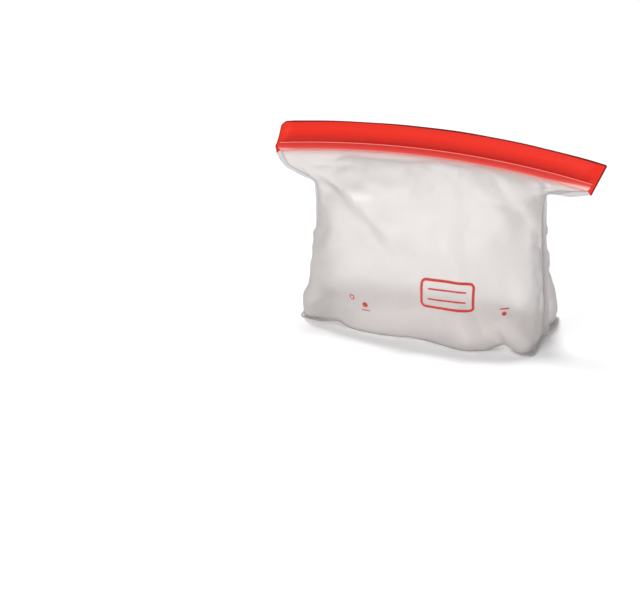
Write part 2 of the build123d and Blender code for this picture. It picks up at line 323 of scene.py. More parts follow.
def foot_shift(x, side):
    """Shift along y and z of the base edge at x."""

    def buckles(table):
        return sum(
            size * np.exp(-((np.abs(x - centre) / width) ** power))
            for size, centre, width, power in table
        )

    ends = smooth((EAR_X - np.abs(x)) / 9.0)
    # the right front corner is pulled a little forward
    pull = -3.6 * smooth((x - 63) / 12) if side == FRONT else 0.0
    return buckles(FOOT_SWAY[side]) * ends + pull, buckles(FOOT_LIFT[side]) * ends


def foot_line(side, count):
    """Base edge of a film with its buckles."""
    points = foot(side, count)
    sway, lift = foot_shift(points[:, 0], side)
    points[:, 1] += sway
    points[:, 2] += lift
    return points


def film_grid(side):
    """Middle surface of a film, from the floor to the cut edge over the flange."""
    rows = []
    # floor to notch, swelling outwards near the corners
    low, first = foot(side, COLS), section(ALL_LEVELS[0], side)
    k = np.linspace(-1, 1, COLS + 1)
    swell = np.sign(k) * smooth((np.abs(k) - 0.80) / 0.2)
    for g in FOOT_STEPS:
        row = low * (1 - g) + first * g
        row[:, 0] += swell * sin(pi * g) * (2.4 if side == BACK else 1.0)
        rows.append(row)
    # body, shoulder and neck
    rows += [section(level, side) for level in BODY_LEVELS]
    # over the flange, clear of it by a hair
    outside = side * -1 * (STRIP_GAP + FLANGE_THICK + FILM_THICK / 2 + 0.03)
    for up in FLANGE_ROWS:
        tuck = 2.6 * (1 - min(1, (up + 0.4) / 2.6)) ** 2
        left, right = ARC_HALF - 1.9 - tuck, ARC_HALF - 2.5 - tuck
        s = np.linspace(-left, right, COLS + 1)
        s = slanted(s, up, s + left, right - s)
        out = outside * (0.62 + 0.38 * smooth((up - 0.1) / 1.3))
        rows.append(zip_point(s, out, up))
    points = np.array(rows)
    # the buckles of the base fade out up the film
    z = points[..., 2]
    low_part = z < 60
    sway, lift = foot_shift(points[..., 0], side)
    points[..., 1] += sway * (np.exp(-((z / 17.0) ** 2)) * low_part)
    points[..., 2] += lift * np.exp(-z / 9.0) * low_part
    return points


def grid_normals(points):
    """Unit normals of a grid of points, shape (rows, cols, 3)."""
    return unit(np.cross(np.gradient(points, axis=1), np.gradient(points, axis=0)))


GRIDS = {side: film_grid(side) for side in (FRONT, BACK)}
FILMS_APART = np.linalg.norm(GRIDS[BACK] - GRIDS[FRONT], axis=2)

# --------------------------------------------------------------------------
# folds of the films
# --------------------------------------------------------------------------
# Height, width, falloff power and end taper of each fold, and its (x, z) points.
# A power of 1 gives a sharp ridge and 2 a round one; a negative height goes inwards.
FOLDS = {
    FRONT: [
        # long fold from the left shoulder down across the front
        (3.3, 5.0, 2, 0.25, [(-88, 103), (-66, 93), (-38, 79), (-14, 66), (4, 54)]),
        (-2.4, 6.5, 2, 0.25, [(-80, 92), (-58, 82), (-34, 68), (-14, 54), (0, 44)]),
        (2.2, 1.8, 1, 0.25, [(-84, 101), (-66, 93), (-38, 79), (-14, 66), (4, 54)]),
        # shallow fold from the right shoulder
        (1.6, 5.0, 2, 0.25, [(84, 101), (66, 90), (50, 74), (42, 56)]),
        (-1.3, 5.0, 2, 0.25, [(74, 88), (60, 72), (52, 54)]),
        # upright folds near each side
        (-1.8, 5.0, 2, 0.25, [(62, 84), (63, 60), (62, 36), (60, 14)]),
        (1.2, 3.6, 2, 0.25, [(70, 84), (71, 56), (71, 30), (70, 10)]),
        (-1.5, 5.5, 2, 0.25, [(-66, 74), (-68, 56), (-70, 40)]),
        (1.4, 4.0, 2, 0.25, [(-72, 66), (-73, 50), (-73, 38)]),
        (-1.8, 5.0, 2, 0.25, [(-74, 34), (-60, 30), (-44, 22)]),
        # folds rising from the base
        (-4.2, 5.5, 2, 0.45, [(56, -3), (54, 8), (46, 22), (36, 34)]),
        (1.8, 4.2, 2, 0.4, [(66, 0), (64, 10), (60, 26)]),
        (1.6, 6.0, 2, 0.4, [(44, -2), (38, 12), (28, 24)]),
        (-2.4, 6.0, 2, 0.45, [(-52, -3), (-48, 10), (-38, 26)]),
        (1.2, 4.2, 2, 0.4, [(-66, 0), (-62, 14), (-54, 24)]),
    ],
    BACK: [
        # folds from the two shoulders
        (2.0, 5.5, 2, 0.25, [(86, 104), (64, 96), (36, 84), (10, 68)]),
        (-1.6, 6.0, 2, 0.25, [(78, 92), (54, 82), (30, 66)]),
        (1.8, 5.0, 2, 0.25, [(-86, 100), (-64, 92), (-44, 76), (-34, 56)]),
        (-1.5, 6.0, 2, 0.25, [(-74, 84), (-58, 70), (-48, 50)]),
        # folds rising from the base
        (-2.2, 6.0, 2, 0.45, [(-50, -3), (-46, 12), (-34, 30)]),
        (-2.6, 6.0, 2, 0.45, [(30, -3), (24, 14), (20, 34)]),
        # upright folds near the right side
        (1.4, 4.0, 2, 0.25, [(62, 70), (64, 50), (64, 28)]),
        (-1.6, 5.0, 2, 0.25, [(54, 78), (55, 54), (56, 24)]),
    ],
}
# Soft dents and swellings of the front: height, centre x, z and width in x, z
DENTS = {FRONT: [(-1.6, 18, 84, 26, 10), (1.2, 12, 34, 24, 18)], BACK: []}
# Flare of the film above each corner of the base
CORNER_FLARE = {
    (FRONT, LEFT): 2.9, (FRONT, RIGHT): 0.8, (BACK, LEFT): 1.4, (BACK, RIGHT): 2.0,
}


def fold_profile(x, z, points, width, power, taper):
    """Profile across a fold line, fading out towards the line's two ends."""
    nearest = np.full(x.shape, 1e9)
    along = np.zeros(x.shape)
    points = np.array(points, float)
    lengths = np.linalg.norm(np.diff(points, axis=0), axis=1)
    total = lengths.sum()
    run = 0.0
    for start, end, length in zip(points[:-1], points[1:], lengths):
        way = (end - start) / length
        q = np.clip((x - start[0]) * way[0] + (z - start[1]) * way[1], 0, length)
        distance = np.hypot(x - start[0] - way[0] * q, z - start[1] - way[1] * q)
        near = distance < nearest
        nearest = np.where(near, distance, nearest)
        along = np.where(near, (run + q) / total, along)
        run += length
    ends = smooth(along / taper) * smooth((1 - along) / taper)
    return np.exp(-((nearest / width) ** power)) * ends


def mound(x, z, centre_x, centre_z, width_x, width_z):
    return np.exp(-(((x - centre_x) / width_x) ** 2 + ((z - centre_z) / width_z) ** 2))


def freedom(heights, along, side_fade, top_gap, top_fade, low_fade):
    """How free the film is: none at the welds, the zip and the floor, 1 away from them."""
    sides = smooth((1 - np.abs(along) / MOUTH_HALF) / side_fade)[None, :]
    top = smooth((FILM_TOP - top_gap - heights) / top_fade)[:, None]
    return sides * top * smooth((heights + FOOT_DEPTH) / low_fade)[:, None]


def wrinkle(points, side):
    """Folds of a film, as a distance along its outward normal."""
    x, z = points[..., 0], points[..., 2]
    up, along = HEIGHTS[:, None], ALONG[None, :]
    below_top = FILM_TOP - up
    k = along / MOUTH_HALF
    d = np.zeros(x.shape)
    for height, width, power, taper, line in FOLDS[side]:
        d += height * fold_profile(x, z, line, width, power, taper)
    for height, *place in DENTS[side]:
        d += height * mound(x, z, *place)
    for end in (LEFT, RIGHT):
        d += CORNER_FLARE[side, end] * bell(k, end * 0.80, 0.14) * bell(z, 9, 15.0)
    for end in (LEFT, RIGHT):
        # small puckers along the weld
        near = bell(np.abs(k), 0.90, 0.10) * (np.sign(k) == end)
        pucker = np.sin(up * (2 * np.pi / 8.5) + 1.3 * end + 0.8 * side)
        d += near * 0.30 * pucker * smooth(up / 12) * smooth(below_top / 8)
        # pleats fanning out of the shoulder
        angle = np.arctan2(z - 112, (x - end * 104))
        d += mound(x, z, end * 78, 92, 17, 12) * 0.9 * np.sin(angle * 16 + end)
    # short pleats under the flange
    pleat = np.sin(along * (2 * np.pi / 17.0) + 2.2 * np.sin(along / 31.0))
    d += 0.35 * pleat * np.exp(-((below_top / 9.0) ** 2)) * smooth(below_top / 5)
    d += 0.55 * noise3(points, 34, 11 + side) + 0.16 * noise3(points, 11, 31 + side)
    return d * freedom(HEIGHTS, ALONG, side_fade=0.10, top_gap=0.5, top_fade=9.0, low_fade=9.0)


# --------------------------------------------------------------------------
# mesh helpers
# --------------------------------------------------------------------------
def add_object(name, data):
    ob = bpy.data.objects.new(name, data)
    bpy.context.scene.collection.objects.link(ob)
    return ob


def plain_mesh(name, verts, faces):
    """A mesh object from vertices in metres."""
    mesh = bpy.data.meshes.new(name)
    faces = [tuple(int(i) for i in face) for face in faces]
    mesh.from_pydata([tuple(v) for v in verts], [], faces)
    return add_object(name, mesh)


def make_object(name, verts, faces, smooth_angle, *materials):
    """A mesh object from vertices in millimetres, shaded smooth below an angle."""
    ob = plain_mesh(name, np.asarray(verts, float) * MM, faces)
    mesh = ob.data
    mesh.validate()
    bm = bmesh.new()
    bm.from_mesh(mesh)
    loose = [v for v in bm.verts if not v.link_faces]
    bmesh.ops.delete(bm, geom=loose, context="VERTS")
    bmesh.ops.recalc_face_normals(bm, faces=bm.faces)
    for edge in bm.edges:
        if len(edge.link_faces) == 2:
            edge.smooth = edge.calc_face_angle(0.0) < radians(smooth_angle)
    for face in bm.faces:
        face.smooth = True
    bm.to_mesh(mesh)
    bm.free()
    for material in materials:
        mesh.materials.append(material)
    return ob


def add_attribute(ob, name, values):
    attribute = ob.data.attributes.new(name, "FLOAT", "POINT")
    attribute.data.foreach_set("value", np.asarray(values, np.float32))


def grid_quads(index):
    """Quads between neighbours in a grid of vertex numbers."""
    rows, cols = index.shape
    return [
        (index[i, j], index[i, j + 1], index[i + 1, j + 1], index[i + 1, j])
        for i in range(rows - 1)
        for j in range(cols - 1)
    ]


def two_skins(index):
    """Quads of a grid and, turned over, of its copy that follows it."""
    faces = []
    for quad in grid_quads(index):
        faces += [quad, tuple(index.size + k for k in reversed(quad))]
    return faces


def shell_from_grid(points, thick):
    """Closed thin shell round a grid, resting on the floor: (vertices, faces)."""
    normals = grid_normals(points)
    rows, cols = points.shape[:2]
    verts = np.concatenate([
        (points + normals * thick / 2).reshape(-1, 3),
        (points - normals * thick / 2).reshape(-1, 3),
    ])
    verts[:, 2] = np.maximum(verts[:, 2], 0.02)
    count = rows * cols
    index = np.arange(count).reshape(rows, cols)
    faces = two_skins(index)
    rim = [*index[0], *index[1:, -1], *index[-1, -2::-1], *index[-2::-1, 0]]
    faces += [(b, a, count + a, count + b) for a, b in zip(rim[:-1], rim[1:])]
    return verts, faces


def loft_rings(rings):
    """Closed surface through equal rings of points, capped at both ends."""
    n, m = len(rings), len(rings[0])
    faces = []
    for i in range(n - 1):
        for j in range(m):
            k = (j + 1) % m
            faces.append((i * m + j, i * m + k, (i + 1) * m + k, (i + 1) * m + j))
    faces.append(tuple(reversed(range(m))))
    faces.append(tuple((n - 1) * m + j for j in range(m)))
    return np.concatenate(rings), faces


def joined(parts):
    """Several (vertices, faces) pairs as one."""
    verts, faces = [], []
    for part_verts, part_faces in parts:
        offset = len(verts)
        verts += list(part_verts)
        faces += [tuple(offset + k for k in face) for face in part_faces]
    return np.array(verts), faces


def bar_profile(inner, outer, thick):
    """Flat bar with a rounded outer edge, as (across, up) points."""
    r = thick / 2
    flat = [inner + (outer - inner) * part for part in (0, 0.25, 0.55)]
    points = [(across, -r) for across in flat]
    for a in np.linspace(-90, 90, 11):
        points.append((outer - r + r * cos(radians(a)), r * sin(radians(a))))
    points += [(across, r) for across in reversed(flat)]
    return np.array(points)


# --------------------------------------------------------------------------
# cloth pass: each film is larger than its welds allow, so it buckles
# --------------------------------------------------------------------------
SIM_SCALE = 10.0        # the cloth solver is steadier on a larger copy
SIM_FRAMES = 30
SIM_ROWS, SIM_COLS = 50, 84
LEAST_PIN = 0.02        # pin weight of the free film
STIFFNESS = 25.0
CLOTH = {
    "quality": 8,
    "mass": 0.25,
    "air_damping": 4.0,
    "tension_stiffness": STIFFNESS,
    "compression_stiffness": STIFFNESS,
    "shear_stiffness": STIFFNESS * 0.5,
    "bending_stiffness": 3.0,
    "tension_damping": 15.0,
    "compression_damping": 15.0,
    "shear_damping": 15.0,
    "bending_damping": 1.0,
    "vertex_group_mass": "pin",
    "pin_stiffness": 1.0,
    # negative shrinking grows the cloth, most where the loose group is strong
    "shrink_min": -0.004,
    "shrink_max": -0.026,
    "vertex_group_shrink": "loose",
    "use_pressure": True,
    "uniform_pressure_force": 0.5,
}


def weight_group(ob, name, weights):
    group = ob.vertex_groups.new(name=name)
    for i, weight in enumerate(weights.ravel()):
        group.add([i], float(weight), "REPLACE")


def run_cloth(start, side, pin, loose):
    """The grid of points after the cloth simulation."""
    rows, cols = start.shape[:2]
    faces = grid_quads(np.arange(rows * cols).reshape(rows, cols))
    if side == BACK:
        faces = [face[::-1] for face in faces]
    ob = plain_mesh("drape", start.reshape(-1, 3) * MM * SIM_SCALE, faces)
    weight_group(ob, "pin", pin)
    weight_group(ob, "loose", loose)
    modifier = ob.modifiers.new("cloth", "CLOTH")
    for name, value in CLOTH.items():
        setattr(modifier.settings, name, value)
    modifier.settings.effector_weights.gravity = 0.0
    modifier.collision_settings.use_collision = False
    modifier.collision_settings.use_self_collision = False
    for frame in range(1, SIM_FRAMES + 1):
        bpy.context.scene.frame_set(frame)
    result = ob.evaluated_get(bpy.context.evaluated_depsgraph_get()).data
    points = np.zeros(len(result.vertices) * 3, np.float32)
    result.vertices.foreach_get("co", points)
    points = points.reshape(rows, cols, 3).astype(float) / (MM * SIM_SCALE)
    mesh = ob.data
    bpy.data.objects.remove(ob)
    bpy.data.meshes.remove(mesh)
    bpy.context.scene.frame_set(1)
    return points


def drape(side):
    """Displacement of every grid point of a film by the cloth pass."""
    grid = GRIDS[side]
    top = FOOT_ROWS + BODY_ROWS - 1
    rows = np.unique(np.round(np.linspace(0, top, SIM_ROWS)).astype(int))
    cols = np.unique(np.round(np.linspace(0, COLS, SIM_COLS)).astype(int))
    coarse = grid[np.ix_(rows, cols)]
    normals = grid_normals(coarse)
    if np.sum(normals[:, :, 1]) * side < 0:
        normals = -normals
    up, along = HEIGHTS[rows], ALONG[cols]
    free = freedom(up, along, side_fade=0.05, top_gap=1.5, top_fade=5.0, low_fade=4.0)
    bumps = 0.8 * noise3(coarse, 26, 5 + side) + 0.5 * noise3(coarse, 12, 15 + side)
    start = coarse + normals * (free * bumps)[..., None]
    pin = np.clip(1 - free, 0, 1) ** 0.5 * (1 - LEAST_PIN) + LEAST_PIN
    loose_up = smooth((LEVEL_AT[6] - up) / (LEVEL_AT[6] - LEVEL_AT[3]))[:, None]
    inside = 1 - np.abs(along) / MOUTH_HALF
    loose = loose_up * (0.2 + 0.8 * smooth(inside / 0.30))[None, :]
    draped = run_cloth(start, side, pin, loose)

    move = np.zeros(grid.shape)
    shift = draped - coarse
    # guards against a simulation that blew up: the film is then left undraped
    if not np.isfinite(draped).all() or np.linalg.norm(shift, axis=2).max() > 25:
        return move
    # back on the fine grid
    at_rows = np.interp(np.arange(top + 1), rows, np.arange(len(rows)))
    at_cols = np.interp(np.arange(COLS + 1), cols, np.arange(len(cols)))
    fine = np.moveaxis(cubic_resample(shift, at_rows), 1, 0)
    fine = np.moveaxis(cubic_resample(fine, at_cols), 0, 1)
    edge = freedom(
        HEIGHTS[: top + 1], ALONG, side_fade=0.03, top_gap=0.5, top_fade=3.0, low_fade=3.0
    )
    move[: top + 1] = fine * edge[..., None]
    return move


def film_surface(side):
    """Middle surface of a film with its draping and folds."""
    points = GRIDS[side]
    normals = grid_normals(points)
    if np.sum(normals[8:60, :, 1] * side) < 0:
        normals = -normals
    d = wrinkle(points, side)
    # an inward fold never reaches the other film
    d = np.where(d < 0, np.maximum(d, -0.38 * np.maximum(FILMS_APART - 0.9, 0.0)), d)
    points = points + drape(side)
    points = points + normals * d[..., None]
    points[..., 2] = np.maximum(points[..., 2], 0.24)     # nothing dips below the floor
    return points


FILM = {side: film_surface(side) for side in (FRONT, BACK)}

# --------------------------------------------------------------------------
# how the pieces move with the bag
# --------------------------------------------------------------------------
LIP = {FRONT: "front_lip", BACK: "back_lip"}
FREE_HALF = ARC_HALF - END_WELD_LENGTH - 0.5    # half length of the zip between its welds


def opening_share(s):
    """Share of a lip's travel at a place along the zip: none at the welded ends."""
    return smooth(1 - np.abs(s) / FREE_HALF)


def add_opening(ob, side, weights):
    """Bends a piece between the bag and a lip with its own weights per vertex."""
    start = tuple(ZIP_MID * MM - Vector((0, 0, 0.04)))
    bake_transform(ob, "bag_body", LIP[side], start=start, end=tuple(ZIP_MID * MM))
    blend = ob.data.attributes["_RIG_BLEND"]
    blend.data.foreach_set("value", np.asarray(weights, np.float32))


def fix_to_bag(ob, slot, *pieces):
    """Makes a piece ride on the bag, in place of the named CAD pieces if there are any."""
    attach(ob, "bag_body")
    if pieces:
        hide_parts(*pieces)


# --------------------------------------------------------------------------
# materials
# --------------------------------------------------------------------------
def srgb(*channels):
    """Linear colour from sRGB channels of 0-255."""
    values = [c / 255.0 for c in channels]
    return (*(v / 12.92 if v <= 0.04045 else ((v + 0.055) / 1.055) ** 2.4 for v in values), 1.0)


def grey(value):
    return (value, value, value, 1)


class Nodes:
    """Node tree of a new material. Each method adds a node and returns its output."""

    def __init__(self, name):
        self.material = bpy.data.materials.new(name)
        self.material.use_nodes = True
        self.tree = self.material.node_tree
        self.tree.nodes.clear()
        self.place = self.add("TexCoord", {}, "Object")

    def add(self, kind, inputs, output=0, **settings):
        node = self.tree.nodes.new("ShaderNode" + kind)
        for key, value in settings.items():
            setattr(node, key, value)
        for key, value in inputs.items():
            if isinstance(value, bpy.types.NodeSocket):
                self.tree.links.new(value, node.inputs[key])
            else:
                node.inputs[key].default_value = value
        return node.outputs[output]

    def math(self, operation, a, b=0.0, clamp=False):
        return self.add("Math", {0: a, 1: b}, operation=operation, use_clamp=clamp)

    def times(self, a, b, clamp=False):
        return self.math("MULTIPLY", a, b, clamp)

    def plus(self, a, b):
        return self.math("ADD", a, b)

    def minus(self, a, b):
        return self.math("SUBTRACT", a, b)

    def blend(self, share, a, b):
        """Colour going from a to b."""
        return self.add("Mix", {0: share, 6: a, 7: b}, 2, data_type="RGBA")

    def mix(self, share, a, b):
        """Shader going from a to b."""
        return self.add("MixShader", {0: share, 1: a, 2: b})

    def ramp(self, share, stops):
        """Colour ramp from (position, colour) stops."""
        colour = self.add("ValToRGB", {"Fac": share})
        elements = colour.node.color_ramp.elements
        while len(elements) < len(stops):
            elements.new(0.5)
        for element, (position, stop_colour) in zip(elements, stops):
            element.position = position
            element.color = stop_colour
        return colour

    def noise(self, scale, detail, rough, distortion=0.0, place=None):
        return self.add("TexNoise", {
            "Scale": scale, "Detail": detail, "Roughness": rough,
            "Distortion": distortion, "Vector": place or self.place,
        }, "Fac")

    def bump(self, height, strength, distance):
        inputs = {"Strength": strength, "Distance": distance, "Height": height}
        return self.add("Bump", inputs)

    def attribute(self, name):
        return self.add("Attribute", {}, "Fac", attribute_name=name)

    def squeezed(self, x_scale):
        """Coordinates that draw a texture out along the zip."""
        return self.add("Mapping", {"Scale": (x_scale, 1.0, 1.0), "Vector": self.place})

    def facing(self, blend):
        """0 where the surface faces the viewer, 1 where it is seen edge on."""
        return self.add("LayerWeight", {"Blend": blend}, "Facing")

    def scatter(self, colour, normal):
        """Half reflected and half passed on, both diffused."""
        surface = {"Color": colour, "Normal": normal}
        diffuse = self.add("BsdfDiffuse", surface)
        return self.mix(0.5, diffuse, self.add("BsdfTranslucent", surface))

    def glossy(self, rough, normal):
        return self.add("BsdfGlossy", {"Roughness": rough, "Normal": normal})

    def finish(self, shader):
        self.add_output = self.tree.nodes.new("ShaderNodeOutputMaterial")
        self.tree.links.new(shader, self.add_output.inputs["Surface"])
        return self.material


def film_material(name, tint, warm, edge, clarity, edge_clarity):
    """Frosted film: part clear, part diffusing, with a soft sheen. It changes to the edge
    colour and clarity where seen edge on, and has a painted pink glow beside the red strip,
    standing in for red light from the strip."""
    k = Nodes(name)
    broad = k.noise(scale=26.0, detail=3.0, rough=0.5)
    fine = k.noise(scale=1100.0, detail=3.0, rough=0.6)
    middle = k.noise(scale=170.0, detail=4.0, rough=0.6, distortion=0.4)
    # near_zip below 1 drives a painted pink glow under the zip, standing in for red light from the strip
    red = k.attribute("near_zip")
    height = k.plus(k.times(fine, 0.30), k.times(middle, 0.8))
    normal = k.bump(height, strength=0.30, distance=0.00022)
    side_on = k.ramp(k.facing(0.36), [
        (0.0, grey(0)), (0.35, grey(0.04)), (0.70, grey(0.34)), (0.92, grey(0.86)),
        (1.0, grey(1.0)),
    ])
    colour = k.blend(k.times(broad, 0.9, clamp=True), tint, warm)
    colour = k.blend(side_on, colour, edge)
    # painted pink glow beside the red strip
    colour = k.blend(k.times(red, 0.80, clamp=True), colour, srgb(255, 206, 200))
    # share of light that passes through
    through = k.blend(side_on, grey(clarity), grey(edge_clarity))
    # the film is made less clear under the painted pink glow
    through = k.blend(k.math("POWER", red, 2.5), through, grey(0.52))
    through = k.times(through, k.plus(k.times(middle, 0.14), 0.93), clamp=True)
    body = k.scatter(colour, normal)
    glass = (0.985, 0.98, 0.978, 1)
    clear = k.add("BsdfTransparent", {"Color": glass})
    blurred = k.add("BsdfRefraction", {
        "Roughness": 0.58, "IOR": 1.13, "Normal": normal, "Color": glass,
    })
    # light passes straight on, while what stands behind is seen blurred
    shadow = k.add("LightPath", {}, "Is Shadow Ray")
    clear_share = k.math("MAXIMUM", shadow, 0.10, clamp=True)
    through = k.times(through, k.minus(1.0, k.times(shadow, 0.17)))
    base = k.mix(through, body, k.mix(clear_share, blurred, clear))
    gloss = k.glossy(0.46, normal)
    fresnel = k.add("Fresnel", {"IOR": 1.38, "Normal": normal})
    return k.finish(k.mix(k.times(fresnel, 0.5, clamp=True), base, gloss))


def tab_material(name):
    """Film fused over the red flange: red shows through it, deeper towards the strip
    and washed out to pink towards the bag."""
    k = Nodes(name)
    grain = k.noise(scale=900.0, detail=3.0, rough=0.6)
    along = k.noise(scale=300.0, detail=3.0, rough=0.6, place=k.squeezed(0.12))
    # near_zip counts from 1 to 2 up the flange
    up = k.minus(k.attribute("near_zip"), 1.0)
    up = k.plus(up, k.times(k.minus(along, 0.5), 0.10))
    colour = k.ramp(up, [
        (0.0, srgb(255, 208, 203)), (0.13, srgb(252, 158, 150)), (0.30, srgb(236, 76, 68)),
        (0.58, srgb(226, 50, 43)), (1.0, srgb(214, 38, 31)),
    ])
    colour = k.blend(k.times(along, 0.14, clamp=True), colour, srgb(240, 74, 64))
    height = k.plus(k.times(grain, 0.5), along)
    return k.finish(k.add("BsdfPrincipled", {
        "Base Color": colour,
        "Normal": k.bump(height, strength=0.25, distance=0.00012),
        "Roughness": 0.42,
        "Specular IOR Level": 0.35,
    }))


def weld_material(name):
    """Fused film with the faint cross ribs the sealing bar leaves."""
    rib_pitch = 0.0011      # metres
    k = Nodes(name)
    z = k.add("SeparateXYZ", {0: k.place}, "Z")
    ribs = k.math("SINE", k.times(z, 2 * pi / rib_pitch))
    fine = k.noise(scale=700.0, detail=3.0, rough=0.6)
    height = k.plus(k.times(ribs, 0.5), k.times(fine, 0.5))
    normal = k.bump(height, strength=0.35, distance=0.00025)
    colour = k.blend(fine, srgb(230, 226, 228), srgb(238, 234, 236))
    body = k.scatter(colour, normal)
    base = k.mix(0.36, body, k.add("BsdfTransparent", {}))
    gloss = k.glossy(0.3, normal)
    fresnel = k.add("Fresnel", {"IOR": 1.45})
    return k.finish(k.mix(k.times(fresnel, 0.7, clamp=True), base, gloss))


def silicone_material(name, main, deep, thick, rough):
    """Red silicone: satin, with moulding grain along the strip, and painted shade: darker
    under the band's overhang (the thick attribute), along the edges seen edge on, and in
    the gap over the top and round the ends."""
    k = Nodes(name)
    along = k.noise(scale=420.0, detail=4.0, rough=0.6, place=k.squeezed(0.10))
    fine = k.noise(scale=1500.0, detail=2.0, rough=0.5)
    broad = k.noise(scale=30.0, detail=3.0, rough=0.5)
    colour = k.blend(k.times(broad, 0.55, clamp=True), main, deep)
    colour = k.blend(k.times(along, 0.16, clamp=True), colour, thick)
    # painted shade under the band's overhang: the thick attribute darkens the strip towards the thick
    # colour, which also tints the moulding grain
    colour = k.blend(k.attribute("thick"), colour, thick)
    # painted shade along the edges seen edge on, darkening them towards a dark brown red
    turned = k.ramp(k.facing(0.5), [
        (0.0, grey(0)), (0.60, grey(0)), (0.86, grey(0.16)), (0.97, grey(0.5)),
        (1.0, grey(0.6)),
    ])
    colour = k.blend(turned, colour, srgb(112, 26, 14))
    # painted shade of the gap between the strips over the top and round the ends, with less specular there
    painted_rim_shade = k.attribute("painted_rim_shade")
    colour = k.blend(painted_rim_shade, colour, srgb(86, 16, 10))
    height = k.plus(k.times(along, 0.7), k.times(fine, 0.3))
    return k.finish(k.add("BsdfPrincipled", {
        "Base Color": colour,
        "Normal": k.bump(height, strength=0.22, distance=0.00015),
        "Roughness": k.plus(k.times(along, 0.12), rough - 0.06),
        "Subsurface Weight": 0.12,
        "Subsurface Radius": (0.003, 0.0008, 0.0005),
        "Subsurface Scale": 0.3,
        "Specular IOR Level": k.minus(0.26, k.times(painted_rim_shade, 0.22)),
    }))


def cut_edge_highlight_material(name):
    """The trimmed edge of the film over the red flange, a pale line of painted highlight where the edge
    catches the light.
    """
    k = Nodes(name)
    grain = k.noise(scale=1300.0, detail=2.0, rough=0.6)
    return k.finish(k.add("BsdfPrincipled", {
        "Base Color": k.blend(grain, srgb(255, 176, 162), srgb(241, 162, 148)),
        "Roughness": 0.45,
        "Normal": k.bump(grain, strength=0.3, distance=0.0001),
    }))


def ink_material(name):
    """Red print, slightly worn."""
    k = Nodes(name)
    worn = k.noise(scale=900.0, detail=4.0, rough=0.7)
    tone = k.blend(k.times(worn, 0.6, clamp=True), srgb(204, 40, 18), srgb(238, 74, 52))
    ink = k.add("BsdfPrincipled", {
        "Base Color": tone,
        "Roughness": 0.5,
        "Normal": k.bump(worn, strength=0.2, distance=0.0001),
    })
    thin = k.ramp(worn, [
        (0.0, grey(0.0)), (0.36, grey(0.08)), (0.46, grey(0.16)), (1.0, grey(0.2)),
    ])
    return k.finish(k.mix(thin, ink, k.add("BsdfTransparent", {})))


def paper_material(name):
    k = Nodes(name)
    tone = k.noise(scale=4.0, detail=2.0, rough=0.5)
    return k.finish(k.add("BsdfDiffuse", {"Color": k.blend(tone, grey(0.91), grey(0.92))}))


M_FILM = film_material(
    "frosted_film", tint=srgb(251, 247, 246), warm=srgb(247, 241, 238),
    edge=srgb(212, 206, 209), clarity=0.78, edge_clarity=0.42,
)
M_GUSSET = film_material(
    "frosted_gusset", tint=srgb(250, 247, 246), warm=srgb(246, 240, 238),
    edge=srgb(205, 200, 202), clarity=0.62, edge_clarity=0.40,
)
M_TAB = tab_material("film_on_flange")
M_WELD = weld_material("film_weld")
# thick is the dark red of the moulding grain and of the painted shade under the band's overhang
M_RED = silicone_material(
    "red_silicone", main=srgb(250, 42, 16), deep=srgb(244, 36, 13),
    thick=srgb(196, 22, 10), rough=0.40,
)
M_RED_END = silicone_material(
    "red_silicone_crushed", main=srgb(244, 42, 20), deep=srgb(232, 34, 16),
    thick=srgb(196, 24, 12), rough=0.46,
)
M_CUT_HIGHLIGHT = cut_edge_highlight_material("film_cut_edge_highlight")
M_INK = ink_material("red_ink")


# --------------------------------------------------------------------------
# films
# --------------------------------------------------------------------------
def zip_glow_and_flange_rise():
    """Painted pink glow up to 1 at the zip, standing in for red light from the strip, then 1 to 2 up the
    flange, per grid point.
    """
    up = HEIGHTS[:, None]
    cast = np.where(up < FILM_TOP, np.exp(-((np.maximum(FILM_TOP - up, 0) / 1.7) ** 1.4)), 1.0)
    # it starts later near the ends
    delay = 2.2 * smooth((ALONG - 72) / 32) + 0.7 * smooth((-ALONG - 84) / 18)
    lift = np.clip((up - FILM_TOP - delay[None, :]) / (FLANGE_HEIGHT + 0.2), 0, 1)
    return (cast + np.where(up > FILM_TOP, lift, 0.0)).ravel()


def build_film(side, name, *pieces):
    points = FILM[side]
    rows, cols = points.shape[:2]
    verts, faces = shell_from_grid(points, FILM_THICK)
    ob = make_object(name, verts, faces, 70, M_FILM, M_TAB, M_CUT_HIGHLIGHT)
    row_of = np.tile(np.repeat(np.arange(rows), cols), 2)
    first_tab = int(np.argmax(HEIGHTS > FILM_TOP + 0.2))
    for face in ob.data.polygons:
        lowest = min(row_of[i] for i in face.vertices)
        if lowest >= first_tab:
            # the top two rows take the cut edge's painted highlight, the rows below them the film over the
            # flange
            face.material_index = 2 if lowest >= rows - 2 else 1
    # near_zip carries the painted pink glow below the zip and the rise up the flange
    add_attribute(ob, "near_zip", np.tile(zip_glow_and_flange_rise(), 2))
    # the film follows the strip above it more and more from the shoulder up
    follow = smooth((HEIGHTS - LEVEL_AT[4]) / (FILM_TOP - LEVEL_AT[4]))
    weight = (follow[:, None] * opening_share(ALONG)[None, :]).ravel()
    add_opening(ob, side, np.tile(weight, 2))
    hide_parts(*pieces)
    return ob


front_film = build_film(FRONT, "front_film", "front_panel", "front_zip_seam")
build_film(BACK, "back_film", "back_panel", "back_zip_seam")


